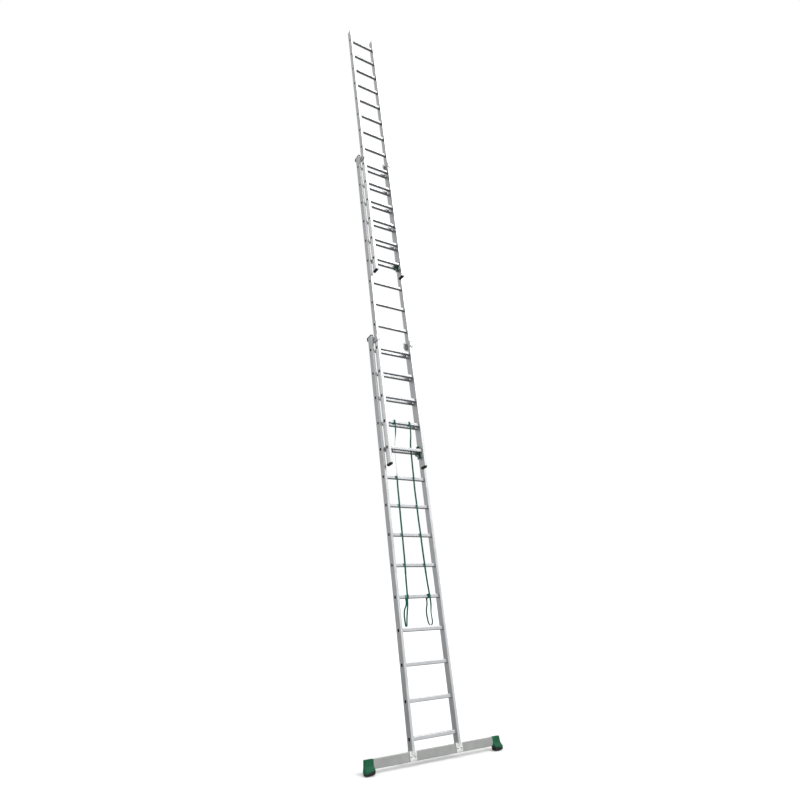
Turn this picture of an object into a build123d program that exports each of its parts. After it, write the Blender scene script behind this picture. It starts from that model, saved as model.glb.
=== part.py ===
from build123d import *
import math
import os

# A three-section aluminium extension ladder with 3 x 14 rungs, standing raised and leaning.
# Every piece is drawn in the ladder's own frame: X along the rungs, Z up the stiles and -Y
# towards the climber. The finished pieces are then leaned back together about the X axis.
# The origin is on the floor, midway between the two feet.

# ---------------------------------------------------------------- driving dimensions (mm)
LEAN = 12  # degrees from upright, away from the climber
RUNG_COUNT = 14
RUNG_PITCH = 280
FIRST_RUNG = 195  # height of the lowest rung along the stiles
RUNGS_RAISED = 9  # the middle section hooks on this many rungs up, the top one on one fewer
LAYER = 72  # each section lies this far in front of the one behind it
BASE_WIDTH = 490
NARROWING = 66  # each section is narrower than the one behind it

STILE_WIDTH = 25
STILE_DEPTH = 70
STILE_WALL = 2
STILE_CORNER = 3
ABOVE_LAST_RUNG = 160
BELOW_FIRST_RUNG = 163

RUNG_SIZE = 32
RUNG_WALL = 2
RUNG_CORNER = 5
RIB_HEIGHT = 0.8
RIB_WIDTH = 2.2
RIB_SPACING = 4.8
RIBS_PER_FACE = 5
BEAD_SIZE = 37
BEAD_LENGTH = 3

BAR_LENGTH = 1210
BAR_DEPTH = 25
BAR_HEIGHT = 70
BAR_TOP = 107
BAR_FORWARD = 6  # the bar sits this far in front of the stiles' middle
SADDLE = 4  # thickness of the saddles that join the stiles to the bar
SADDLE_WIDTH = 66
BOLT_SPACING = 40
BOLT_RADIUS = 4
BOLT_GAP = 0.2

FIT = 0.15  # gap round a plug inside a tube
RUNNING_GAP = 0.5  # gap round a stile inside its guide

STRAP_WIDTH = 16  # the flat straps are drawn as round cords of this diameter
STRAP_THICKNESS = 1.8
STRAP_GAP = 0.3

# ---------------------------------------------------------------- what follows from them
SECTIONS = ("base", "mid", "top")
SIDES = {"left": -1, "right": 1}
WIDTH = {"base": BASE_WIDTH, "mid": BASE_WIDTH - NARROWING, "top": BASE_WIDTH - 2 * NARROWING}
FRONT = {"base": 0, "mid": -LAYER, "top": -2 * LAYER}
RAISED = {"base": 0, "mid": RUNGS_RAISED, "top": 2 * RUNGS_RAISED - 1}
BOTTOM_RUNG = {name: FIRST_RUNG + RUNG_PITCH * RAISED[name] for name in SECTIONS}
STILE_TOP = {
    name: BOTTOM_RUNG[name] + RUNG_PITCH * (RUNG_COUNT - 1) + ABOVE_LAST_RUNG for name in SECTIONS
}
STILE_BOTTOM = {name: BOTTOM_RUNG[name] - BELOW_FIRST_RUNG for name in SECTIONS}
STILE_BOTTOM["base"] = BAR_TOP + SADDLE
HOLLOW_WIDTH = STILE_WIDTH - 2 * STILE_WALL
HOLLOW_DEPTH = STILE_DEPTH - 2 * STILE_WALL
RUNG_REACH = RUNG_SIZE / 2 + RIB_HEIGHT  # from a rung's middle to the tips of its ribs
FLOOR = Plane.XY.rotated((LEAN, 0, 0))  # the floor, seen from the upright ladder

os.makedirs("parts", exist_ok=True)


def write(piece, label):
    """Leans a finished piece back with the ladder, labels it and writes its STEP file."""
    with BuildPart() as leaned:
        add(piece, rotation=(-LEAN, 0, 0))
    leaned.part.label = label
    export_step(leaned.part, f"parts/{label}.step")


def stile_middle(section, side):
    """X of the middle of one stile."""
    return side * (WIDTH[section] - STILE_WIDTH) / 2


def rung_heights(section):
    return [BOTTOM_RUNG[section] + RUNG_PITCH * i for i in range(RUNG_COUNT)]


def mirrored(part, side):
    """Pieces are drawn for the right-hand side; the left-hand ones are their mirror images."""
    return part if side > 0 else part.mirror(Plane.YZ)


# ---------------------------------------------------------------- rungs
def make_rungs(section):
    """Fourteen square tubes, ribbed on top and in front, with a bead swaged inside each stile."""
    width, y = WIDTH[section], FRONT[section]
    clear_width = width - 2 * STILE_WIDTH
    places = [(y, z) for z in rung_heights(section)]
    rib_steps = [RIB_SPACING * (i - (RIBS_PER_FACE - 1) / 2) for i in range(RIBS_PER_FACE)]
    with BuildPart() as rungs:
        with BuildSketch(Plane.YZ.offset(-width / 2)):
            with Locations(*places):
                RectangleRounded(RUNG_SIZE, RUNG_SIZE, RUNG_CORNER)
        extrude(amount=width)
        with BuildSketch(Plane.YZ.offset(-clear_width / 2)):
            with Locations(*places):
                for step in rib_steps:
                    with Locations((step, RUNG_REACH / 2)):
                        Rectangle(RIB_WIDTH, RUNG_REACH)
                    with Locations((-RUNG_REACH / 2, step)):
                        Rectangle(RUNG_REACH, RIB_WIDTH)
        extrude(amount=clear_width)
        for start in (-clear_width / 2, clear_width / 2 - BEAD_LENGTH):
            with BuildSketch(Plane.YZ.offset(start)):
                with Locations(*places):
                    RectangleRounded(BEAD_SIZE, BEAD_SIZE, RUNG_CORNER + 2)
            extrude(amount=BEAD_LENGTH)
        inner = RUNG_SIZE - 2 * RUNG_WALL
        with BuildSketch(Plane.YZ.offset(-width / 2)):
            with Locations(*places):
                RectangleRounded(inner, inner, RUNG_CORNER - RUNG_WALL)
        extrude(amount=width, mode=Mode.SUBTRACT)
    return rungs.part


for section in SECTIONS:
    write(make_rungs(section), f"{section}_rungs")


# ---------------------------------------------------------------- stabiliser bar and its feet
FOOT_INNER = BAR_LENGTH / 2 - 5  # X where the foot's inner face stands
FOOT_WIDTH = 82
FOOT_FLARE = 8  # how far the foot's outer side leans out
FOOT_HEAD_DEPTH = 31
FOOT_TOE = 22  # how far the foot's base reaches in front of its head
FOOT_HEEL = 4  # and behind it
FOOT_SHOULDER = 60  # height at which the foot starts to widen
FOOT_ANKLE = 30  # and where it is at its widest
SOLE_INNER = 31  # height of the joint between foot and sole at the inner end
SOLE_OUTER = 13  # and at the outer end
SOLE_RADIUS = 62
SOLE_FORWARD = 14  # the rocker's middle lies this far in front of the stiles' middle
SOLE_WEAR = 1.5  # depth of the flat worn into the curved sole
BELOW_SOLE = -16
PLUG_LENGTH = 60
BAR_MIDDLE = BAR_TOP - BAR_HEIGHT / 2


def bolt_places():
    """X and Z of the four bolts, two through each saddle."""
    middle = stile_middle("base", 1)
    steps = (-BOLT_SPACING / 2, BOLT_SPACING / 2)
    return [(side * middle + step, BAR_MIDDLE) for side in (-1, 1) for step in steps]


def make_bar():
    """The wide box tube that the ladder stands on, with the bolt holes of both saddles."""
    with BuildPart() as bar:
        with BuildSketch(Plane.YZ.offset(-FOOT_INNER - 2 * STILE_WALL)):
            with Locations((-BAR_FORWARD, BAR_MIDDLE)):
                RectangleRounded(BAR_DEPTH, BAR_HEIGHT, STILE_CORNER)
                Rectangle(BAR_DEPTH - 2 * STILE_WALL, BAR_HEIGHT - 2 * STILE_WALL, mode=Mode.SUBTRACT)
        extrude(amount=2 * (FOOT_INNER + 2 * STILE_WALL))
        with BuildSketch(Plane.XZ.offset(-BAR_DEPTH)):
            with Locations(*bolt_places()):
                Circle(BOLT_RADIUS + BOLT_GAP)
        extrude(amount=3 * BAR_DEPTH, mode=Mode.SUBTRACT)
    return bar.part


def make_foot():
    """The green end foot: a head over the bar's end, a toe in front and a plug into the bar."""
    inner, outer, top = FOOT_INNER, FOOT_INNER + FOOT_WIDTH, BAR_TOP + 2
    front = -BAR_FORWARD - FOOT_HEAD_DEPTH / 2
    back = -BAR_FORWARD + FOOT_HEAD_DEPTH / 2
    with BuildPart() as foot:
        with BuildSketch(Plane.XZ.offset(BAR_FORWARD)):
            with BuildLine():
                Polyline(
                    (inner, SOLE_INNER),
                    (inner, top),
                    (outer - FOOT_FLARE, top),
                    (outer, SOLE_OUTER + 8),
                    (outer - 3, SOLE_OUTER),
                    close=True,
                )
            make_face()
        extrude(amount=2 * FOOT_HEAD_DEPTH, both=True)
        with BuildSketch(Plane.YZ.offset(inner)):
            with BuildLine():
                Polyline(
                    (front, top),
                    (front, FOOT_SHOULDER),
                    (front - FOOT_TOE, FOOT_ANKLE),
                    (front - FOOT_TOE, BELOW_SOLE),
                    (back + FOOT_HEEL, BELOW_SOLE),
                    (back + FOOT_HEEL, FOOT_ANKLE),
                    (back, FOOT_SHOULDER),
                    (back, top),
                    close=True,
                )
            make_face()
        extrude(amount=FOOT_WIDTH, mode=Mode.INTERSECT)
        fillet(foot.edges().filter_by(Axis.Y).group_by(Axis.Z)[-1], 4)
        with BuildSketch(Plane.YZ.offset(inner)):
            with Locations((-BAR_FORWARD, BAR_MIDDLE)):
                RectangleRounded(BAR_DEPTH, BAR_HEIGHT, STILE_CORNER)
        extrude(amount=2 * STILE_WALL, mode=Mode.SUBTRACT)
        with BuildSketch(Plane.YZ.offset(inner + 2 * STILE_WALL)):
            with Locations((-BAR_FORWARD, BAR_MIDDLE)):
                Rectangle(
                    BAR_DEPTH - 2 * STILE_WALL - 2 * FIT,
                    BAR_HEIGHT - 2 * STILE_WALL - 2 * FIT,
                )
        extrude(amount=-PLUG_LENGTH)
    return foot.part


def make_sole():
    """The black rubber sole: a rocker across the bar, rounded up at both ends, worn flat below."""
    inner, outer = FOOT_INNER, FOOT_INNER + FOOT_WIDTH - 3
    front = -BAR_FORWARD - FOOT_HEAD_DEPTH / 2 - FOOT_TOE
    back = -BAR_FORWARD + FOOT_HEAD_DEPTH / 2 + FOOT_HEEL
    lean = math.radians(LEAN)
    rise = SOLE_RADIUS - SOLE_WEAR - SOLE_FORWARD * math.sin(lean)
    with BuildPart() as sole:
        with BuildSketch(Plane.XZ.offset(BAR_FORWARD)):
            with BuildLine():
                Line((inner, SOLE_INNER), (outer, SOLE_OUTER))
                Line((outer, SOLE_OUTER), (outer, 4))
                RadiusArc((outer, 4), (outer - 14, BELOW_SOLE), 22)
                Line((outer - 14, BELOW_SOLE), (inner + 30, BELOW_SOLE))
                RadiusArc((inner + 30, BELOW_SOLE), (inner, SOLE_INNER), 44)
            make_face()
        extrude(amount=2 * FOOT_HEAD_DEPTH, both=True)
        with BuildSketch(Plane.YZ.offset(inner)):
            with Locations((-SOLE_FORWARD, rise / math.cos(lean))):
                Circle(SOLE_RADIUS)
            with Locations(((front + back) / 2, 0)):
                Rectangle(back - front - 2, 4 * SOLE_INNER, mode=Mode.INTERSECT)
        extrude(amount=FOOT_WIDTH, mode=Mode.INTERSECT)
        split(bisect_by=FLOOR, keep=Keep.TOP)
    return sole.part


# ---------------------------------------------------------------- saddles, bolts and nuts
HEAD_ACROSS = 13
HEAD_HEIGHT = 5.5
NUT_HEIGHT = 6.5
SPIGOT_LENGTH = 60
SPIGOT_WALL = 3
RIVET_RADIUS = 2.5
RIVET_HEAD = 4.5
RIVET_DOME = 1.6


def make_saddle():
    """A saddle over the bar, its spigot standing inside the right-hand stile."""
    x = stile_middle("base", 1)
    half_bar = BAR_DEPTH / 2
    cheek_height = BAR_HEIGHT + SADDLE
    with BuildPart() as saddle:
        with BuildSketch(Plane.XY.offset(BAR_TOP)):
            with Locations((x, 0)):
                Rectangle(STILE_WIDTH, STILE_DEPTH)
            with Locations((x, -BAR_FORWARD)):
                Rectangle(SADDLE_WIDTH, BAR_DEPTH + 2 * SADDLE)
        extrude(amount=SADDLE)
        with BuildSketch(Plane.XY.offset(BAR_TOP + SADDLE)):
            for y in (-BAR_FORWARD - half_bar - SADDLE / 2, -BAR_FORWARD + half_bar + SADDLE / 2):
                with Locations((x, y)):
                    Rectangle(SADDLE_WIDTH, SADDLE)
        extrude(amount=-cheek_height)
        fillet(saddle.edges().filter_by(Axis.Y).group_by(Axis.Z)[0], 6)
        with BuildSketch(Plane.XY.offset(BAR_TOP + SADDLE)):
            with Locations((x, 0)):
                Rectangle(HOLLOW_WIDTH - 2 * FIT, HOLLOW_DEPTH - 2 * FIT)
                Rectangle(HOLLOW_WIDTH - 2 * SPIGOT_WALL, HOLLOW_DEPTH - 2 * SPIGOT_WALL, mode=Mode.SUBTRACT)
        extrude(amount=SPIGOT_LENGTH)
        with BuildSketch(Plane.XZ.offset(-BAR_DEPTH)):
            with Locations(*[place for place in bolt_places() if place[0] > 0]):
                Circle(BOLT_RADIUS + BOLT_GAP)
        extrude(amount=3 * BAR_DEPTH, mode=Mode.SUBTRACT)
        with BuildSketch(Plane.XZ.offset(STILE_DEPTH / 2)):
            with Locations(*[place for place in spigot_rivet_places() if place[0] > 0]):
                Circle(RIVET_RADIUS)
        extrude(amount=-STILE_WALL - SPIGOT_WALL, mode=Mode.SUBTRACT)
    return saddle.part


def make_bolts():
    front = BAR_FORWARD + BAR_DEPTH / 2 + SADDLE
    length = BAR_DEPTH + 2 * SADDLE + NUT_HEIGHT + 2
    with BuildPart() as bolts:
        with BuildSketch(Plane.XZ.offset(front)):
            with Locations(*bolt_places()):
                RegularPolygon(HEAD_ACROSS / 2, 6, major_radius=False)
        extrude(amount=HEAD_HEIGHT)
        with BuildSketch(Plane.XZ.offset(front)):
            with Locations(*bolt_places()):
                Circle(BOLT_RADIUS)
        extrude(amount=-length)
    return bolts.part


def make_nuts():
    back = BAR_FORWARD - BAR_DEPTH / 2 - SADDLE
    with BuildPart() as nuts:
        with BuildSketch(Plane.XZ.offset(back)):
            with Locations(*bolt_places()):
                RegularPolygon(HEAD_ACROSS / 2, 6, major_radius=False)
                Circle(BOLT_RADIUS + BOLT_GAP / 4, mode=Mode.SUBTRACT)
        extrude(amount=-NUT_HEIGHT)
    return nuts.part


def spigot_rivet_places():
    """X and Z of the rivets in the front faces of the base stiles, two into each spigot."""
    middle, foot = stile_middle("base", 1), BAR_TOP + SADDLE
    return [(side * middle, foot + step) for side in (-1, 1) for step in (15, 43)]


def make_spigot_rivets():
    with BuildPart() as rivets:
        with BuildSketch(Plane.XZ.offset(STILE_DEPTH / 2)):
            with Locations(*spigot_rivet_places()):
                Circle(RIVET_HEAD)
        extrude(amount=RIVET_DOME)
        with BuildSketch(Plane.XZ.offset(STILE_DEPTH / 2)):
            with Locations(*spigot_rivet_places()):
                Circle(RIVET_RADIUS)
        extrude(amount=-STILE_WALL - SPIGOT_WALL)
    return rivets.part


write(make_bar(), "stabiliser_bar")
for side_name, side in SIDES.items():
    write(mirrored(make_foot(), side), f"foot_{side_name}")
    write(mirrored(make_sole(), side), f"foot_sole_{side_name}")
    write(mirrored(make_saddle(), side), f"bar_saddle_{side_name}")
write(make_bolts(), "saddle_bolts")
write(make_nuts(), "saddle_nuts")
write(make_spigot_rivets(), "spigot_rivets")


# ---------------------------------------------------------------- end caps
CAP_HEIGHT = 12
CAP_MARGIN = 1
CAP_OVERHANG = 20  # the top caps reach this far behind the stile
CAP_LIP = 7  # thickness of the lip that hangs from the overhang
CAP_LIP_DROP = 28
FOOT_CAP_HEIGHT = 24
FOOT_CAP_MARGIN = 2
PLUG_DEPTH = 28
PLAIN_PLUG = 5
PLUG_WIDTH = HOLLOW_WIDTH - 2 * FIT
PLUG_THICKNESS = HOLLOW_DEPTH - 2 * FIT


def make_top_cap(section):
    top = STILE_TOP[section]
    lip = FRONT[section] + STILE_DEPTH / 2 + CAP_OVERHANG - CAP_LIP / 2
    with BuildPart() as cap:
        with BuildSketch(Plane.XY.offset(top)):
            with Locations((stile_middle(section, 1), FRONT[section] + CAP_OVERHANG / 2)):
                RectangleRounded(
                    STILE_WIDTH + 2 * CAP_MARGIN,
                    STILE_DEPTH + 2 * CAP_MARGIN + CAP_OVERHANG,
                    STILE_CORNER,
                )
        extrude(amount=CAP_HEIGHT)
        fillet(cap.edges().group_by(Axis.Z)[-1], 3)
        with BuildSketch(Plane.XY.offset(top)):
            with Locations((stile_middle(section, 1), lip)):
                Rectangle(STILE_WIDTH, CAP_LIP)
        extrude(amount=-CAP_LIP_DROP)
        with BuildSketch(Plane.XY.offset(top)):
            with Locations((stile_middle(section, 1), FRONT[section])):
                Rectangle(PLUG_WIDTH, PLUG_THICKNESS)
        extrude(amount=-PLUG_DEPTH)
    return cap.part


def make_top_plug():
    """The flush plug that closes a stile at the very top of the ladder."""
    top = STILE_TOP["top"]
    with BuildPart() as plug:
        with BuildSketch(Plane.XY.offset(top)):
            with Locations((stile_middle("top", 1), FRONT["top"])):
                RectangleRounded(STILE_WIDTH, STILE_DEPTH, STILE_CORNER)
        extrude(amount=PLAIN_PLUG)
        with BuildSketch(Plane.XY.offset(top)):
            with Locations((stile_middle("top", 1), FRONT["top"])):
                Rectangle(PLUG_WIDTH, PLUG_THICKNESS)
        extrude(amount=-PLUG_DEPTH)
    return plug.part


def make_foot_cap(section):
    """The black cap under a stile of a sliding section, rounded at front and back."""
    bottom = STILE_BOTTOM[section]
    with BuildPart() as cap:
        with BuildSketch(Plane.XY.offset(bottom)):
            with Locations((stile_middle(section, 1), FRONT[section])):
                RectangleRounded(
                    STILE_WIDTH + 2 * FOOT_CAP_MARGIN,
                    STILE_DEPTH + 2 * FOOT_CAP_MARGIN,
                    STILE_CORNER + 1,
                )
        extrude(amount=-FOOT_CAP_HEIGHT)
        fillet(cap.edges().filter_by(Axis.X).group_by(Axis.Z)[0], 14)
        with BuildSketch(Plane.XY.offset(bottom)):
            with Locations((stile_middle(section, 1), FRONT[section])):
                Rectangle(PLUG_WIDTH, PLUG_THICKNESS)
        extrude(amount=PLUG_DEPTH)
    return cap.part


for side_name, side in SIDES.items():
    write(mirrored(make_top_cap("base"), side), f"base_top_cap_{side_name}")
    write(mirrored(make_top_cap("mid"), side), f"mid_top_cap_{side_name}")
    write(mirrored(make_top_plug(), side), f"top_end_plug_{side_name}")
    write(mirrored(make_foot_cap("mid"), side), f"mid_foot_cap_{side_name}")
    write(mirrored(make_foot_cap("top"), side), f"top_foot_cap_{side_name}")


# ---------------------------------------------------------------- guides at the section tops
GUIDE_SHEET = 4
GUIDE_HEIGHT = 60
GUIDE_BELOW_TOP = 90
GUIDE_GRIP = 20  # how far the guide lies along the inside of its own stile
PAD_HEIGHT = 16
LIP_LENGTH = 27
FINGER_GAP = 24  # from the guided stile's inner face to the finger behind it
FINGER_REACH = 20
GUIDE_FRONT_GAP = 2


def guide_profile(section, inset):
    """The guide's outline from above, a hook round the next section's right-hand stile. inset
    brings the faces that meet that stile closer to it."""
    next_section = SECTIONS[SECTIONS.index(section) + 1]
    outer = WIDTH[section] / 2 - STILE_WIDTH  # the inner face of the stile that carries it
    stile_inner = WIDTH[next_section] / 2 - STILE_WIDTH
    stile_front = FRONT[next_section] - STILE_DEPTH / 2
    stile_back = FRONT[next_section] + STILE_DEPTH / 2
    cheek = outer - GUIDE_SHEET - inset
    lip_back = stile_front - GUIDE_FRONT_GAP + inset
    lip_front = stile_front - GUIDE_FRONT_GAP - GUIDE_SHEET
    arm_front = stile_back + GUIDE_FRONT_GAP + 1 - inset
    arm_back = stile_back + GUIDE_FRONT_GAP + 1 + GUIDE_SHEET
    finger = stile_inner - FINGER_GAP
    finger_tip = arm_back - FINGER_REACH
    return [
        (outer, FRONT[section] + GUIDE_GRIP),
        (outer, lip_front),
        (outer - LIP_LENGTH, lip_front),
        (outer - LIP_LENGTH, lip_back),
        (cheek, lip_back),
        (cheek, arm_front),
        (finger + GUIDE_SHEET, arm_front),
        (finger + GUIDE_SHEET, finger_tip),
        (finger, finger_tip),
        (finger, arm_back),
        (outer - GUIDE_SHEET, arm_back),
        (outer - GUIDE_SHEET, FRONT[section] + GUIDE_GRIP),
    ]


def make_guide(section):
    """The aluminium guide, riveted to the inner face of its stile."""
    bottom = STILE_TOP[section] - GUIDE_BELOW_TOP
    with BuildPart() as guide:
        with BuildSketch(Plane.XY.offset(bottom)):
            with BuildLine():
                Polyline(*guide_profile(section, 0), close=True)
            make_face()
        extrude(amount=GUIDE_HEIGHT)
        with BuildSketch(Plane.YZ.offset(WIDTH[section] / 2 - 3 * STILE_WIDTH)):
            with Locations(*guide_rivet_places(section)):
                Circle(RIVET_RADIUS)
        extrude(amount=3 * STILE_WIDTH, mode=Mode.SUBTRACT)
    return guide.part


def make_guide_pad(section):
    """The black slide that caps the guide and runs on the next section's stile."""
    bottom = STILE_TOP[section] - GUIDE_BELOW_TOP + GUIDE_HEIGHT
    inset = GUIDE_FRONT_GAP - RUNNING_GAP
    with BuildPart() as pad:
        with BuildSketch(Plane.XY.offset(bottom)):
            with BuildLine():
                Polyline(*guide_profile(section, inset), close=True)
            make_face()
        extrude(amount=PAD_HEIGHT)
    return pad.part


def guide_rivet_places(section):
    """Y and Z of the rivets that hold a guide to its stile."""
    bottom = STILE_TOP[section] - GUIDE_BELOW_TOP
    return [
        (FRONT[section] + y, bottom + z)
        for y in (GUIDE_GRIP - 9, -GUIDE_GRIP)
        for z in (14, GUIDE_HEIGHT - 14)
    ]


def make_rivets(section, places, sheet):
    """Domed rivets through a sheet on the inner faces of both stiles, for (y, z) places."""
    inner_face = WIDTH[section] / 2 - STILE_WIDTH
    grip = sheet + STILE_WALL
    with BuildPart() as rivets:
        for side in (-1, 1):
            head_plane = Plane.YZ.offset(side * (inner_face - sheet))
            with BuildSketch(head_plane):
                with Locations(*places):
                    Circle(RIVET_HEAD)
            extrude(amount=-side * RIVET_DOME)
            with BuildSketch(head_plane):
                with Locations(*places):
                    Circle(RIVET_RADIUS)
            extrude(amount=side * grip)
    return rivets.part


# ---------------------------------------------------------------- rung hooks of the sliding sections
HOOK_PLATE = 5
HOOK_PLATE_TOP = 50
HOOK_PLATE_BOTTOM = -72
HOOK_PLATE_BACK = 36  # Y of the plate's back edge behind its own rung's middle
HOOK_PLATE_FRONT = -26
HOOK_NOTCH = 20
HOOK_THICKNESS = 12
HOOK_GAP = 0.7  # between the hook and the ribs of the rung that carries it
HORN_HEIGHT = 42
BEAK_THICKNESS = 11
BEAK_GAP = 4.5
LATCH_THICKNESS = 6.5
LATCH_GAP = 0.5
PIN_RADIUS = 4
PIN_GAP = 0.05
LATCH_PIN_Y = -36
LATCH_PIN_Z = -40


def plate_inner(section):
    """X of the hook plate's inner face on the right-hand side."""
    return WIDTH[section] / 2 - STILE_WIDTH - HOOK_PLATE


def hook_origin(section):
    """Y and Z of the middle of the rung behind, on which the section's hooks rest."""
    return FRONT[section] + LAYER, BOTTOM_RUNG[section]


def make_hook_plate(section):
    """The plate riveted to the stile's inner face, notched round the section's own rung."""
    y, z = FRONT[section], BOTTOM_RUNG[section]
    with BuildPart() as plate:
        with BuildSketch(Plane.YZ.offset(plate_inner(section))):
            with BuildLine():
                Polyline(
                    (y + HOOK_PLATE_BACK, z + HOOK_PLATE_BOTTOM),
                    (y + HOOK_PLATE_BACK, z + HOOK_PLATE_TOP),
                    (y + HOOK_PLATE_FRONT, z + HOOK_PLATE_TOP),
                    (y + HOOK_PLATE_FRONT, z + HOOK_NOTCH),
                    (y + HOOK_NOTCH, z + HOOK_NOTCH),
                    (y + HOOK_NOTCH, z - HOOK_NOTCH),
                    (y + HOOK_PLATE_FRONT, z - HOOK_NOTCH),
                    (y + HOOK_PLATE_FRONT, z + HOOK_PLATE_BOTTOM),
                    close=True,
                )
            make_face()
            with Locations(*hook_rivet_places(section)):
                Circle(RIVET_RADIUS, mode=Mode.SUBTRACT)
        extrude(amount=HOOK_PLATE)
    return plate.part


def hook_rivet_places(section):
    """Y and Z of the four rivets in a hook plate."""
    y, z = FRONT[section], BOTTOM_RUNG[section]
    return [(y + 8, z + 33), (y - 16, z + 33), (y + 8, z - 52), (y - 16, z - 52)]


def make_hook(section):
    """The green casting whose horn lies on the rung behind and whose beak drops behind it."""
    y, z = hook_origin(section)
    horn_bottom = RUNG_REACH + HOOK_GAP
    beak = RUNG_REACH + BEAK_GAP
    thumb = plate_inner(section) - HOOK_THICKNESS
    with BuildPart() as hook:
        with BuildSketch(Plane.YZ.offset(thumb)):
            with BuildLine():
                Polyline(
                    (y - 52, z + horn_bottom + HORN_HEIGHT - 6),
                    (y - 46, z + horn_bottom + HORN_HEIGHT),
                    (y - 26, z + horn_bottom + HORN_HEIGHT),
                    (y + beak, z + horn_bottom + HORN_HEIGHT - 20),
                    (y + beak + BEAK_THICKNESS, z + horn_bottom + HORN_HEIGHT - 28),
                    (y + beak + BEAK_THICKNESS - 2, z + 1),
                    (y + beak + 2, z + 1),
                    (y + beak - 2, z + horn_bottom),
                    (y - 20, z + horn_bottom),
                    (y - 22, z - 22),
                    (y - 26, z - 62),
                    (y - 34, z - 70),
                    (y - 46, z - 70),
                    (y - 52, z - 62),
                    close=True,
                )
            make_face()
            with Locations((y + LATCH_PIN_Y, z + LATCH_PIN_Z)):
                Circle(PIN_RADIUS, mode=Mode.SUBTRACT)
        extrude(amount=HOOK_THICKNESS)
    return hook.part


def make_latch(section):
    """The swinging latch: a boss on the pin, a finger under the rung and a tab to pull."""
    y, z = hook_origin(section)
    pin_y, pin_z = y + LATCH_PIN_Y, z + LATCH_PIN_Z
    start = plate_inner(section) - HOOK_THICKNESS - LATCH_GAP - LATCH_THICKNESS
    with BuildPart() as latch:
        with BuildSketch(Plane.YZ.offset(start)):
            with Locations((pin_y, pin_z)):
                Circle(10)
            with BuildLine():
                Polyline(
                    (pin_y, pin_z + 10),
                    (pin_y + 24, z - RUNG_REACH - 3),
                    (pin_y + 46, z - RUNG_REACH - 3),
                    (pin_y + 44, z - RUNG_REACH - 13),
                    (pin_y + 22, pin_z - 4),
                    (pin_y + 10, pin_z - 6),
                    (pin_y + 8, pin_z - 42),
                    (pin_y - 8, pin_z - 42),
                    (pin_y - 10, pin_z),
                    close=True,
                )
            make_face()
            with Locations((pin_y, pin_z)):
                Circle(PIN_RADIUS + PIN_GAP, mode=Mode.SUBTRACT)
        extrude(amount=LATCH_THICKNESS)
    return latch.part


def make_latch_pins(section):
    """The pins of both latches, each with a head on its inner end."""
    y, z = hook_origin(section)
    place = (y + LATCH_PIN_Y, z + LATCH_PIN_Z)
    inner = plate_inner(section)
    head_face = inner - HOOK_THICKNESS - 2 * LATCH_GAP - LATCH_THICKNESS
    with BuildPart() as pins:
        for side in (-1, 1):
            with BuildSketch(Plane.YZ.offset(side * head_face)):
                with Locations(place):
                    Circle(PIN_RADIUS)
            extrude(amount=side * (inner - head_face))
            with BuildSketch(Plane.YZ.offset(side * head_face)):
                with Locations(place):
                    Circle(PIN_RADIUS + 3)
            extrude(amount=-side * 2.5)
    return pins.part


for section in ("base", "mid"):
    for side_name, side in SIDES.items():
        write(mirrored(make_guide(section), side), f"{section}_guide_{side_name}")
        write(mirrored(make_guide_pad(section), side), f"{section}_guide_pad_{side_name}")
    write(
        make_rivets(section, guide_rivet_places(section), GUIDE_SHEET),
        f"{section}_guide_rivets",
    )

for section in ("mid", "top"):
    for side_name, side in SIDES.items():
        write(mirrored(make_hook_plate(section), side), f"{section}_hook_plate_{side_name}")
        write(mirrored(make_hook(section), side), f"{section}_rung_hook_{side_name}")
        write(mirrored(make_latch(section), side), f"{section}_latch_{side_name}")
    write(make_latch_pins(section), f"{section}_latch_pins")
    write(
        make_rivets(section, hook_rivet_places(section), HOOK_PLATE),
        f"{section}_hook_rivets",
    )


# ---------------------------------------------------------------- stiles
def rivet_places(section):
    """Y and Z of every rivet in the inner faces of a section's stiles."""
    places = []
    if section != "top":
        places += guide_rivet_places(section)
    if section != "base":
        places += hook_rivet_places(section)
    return places


def make_stile(section, side):
    """A rounded box tube with a hole through it for every rung and for every rivet."""
    x, y = stile_middle(section, side), FRONT[section]
    with BuildPart() as stile:
        with BuildSketch(Plane.XY.offset(STILE_BOTTOM[section])):
            with Locations((x, y)):
                RectangleRounded(STILE_WIDTH, STILE_DEPTH, STILE_CORNER)
                Rectangle(HOLLOW_WIDTH, HOLLOW_DEPTH, mode=Mode.SUBTRACT)
        extrude(amount=STILE_TOP[section] - STILE_BOTTOM[section])
        with BuildSketch(Plane.YZ.offset(x - STILE_WIDTH)):
            with Locations(*[(y, z) for z in rung_heights(section)]):
                RectangleRounded(RUNG_SIZE, RUNG_SIZE, RUNG_CORNER)
        extrude(amount=2 * STILE_WIDTH, mode=Mode.SUBTRACT)
        with BuildSketch(Plane.YZ.offset(x - side * STILE_WIDTH / 2)):
            with Locations(*rivet_places(section)):
                Circle(RIVET_RADIUS)
        extrude(amount=side * STILE_WALL, mode=Mode.SUBTRACT)
        if section == "base":
            with BuildSketch(Plane.XZ.offset(STILE_DEPTH / 2)):
                with Locations(*spigot_rivet_places()):
                    Circle(RIVET_RADIUS)
            extrude(amount=-STILE_WALL, mode=Mode.SUBTRACT)
    return stile.part


for section in SECTIONS:
    for side_name, side in SIDES.items():
        write(make_stile(section, side), f"{section}_stile_{side_name}")


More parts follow.
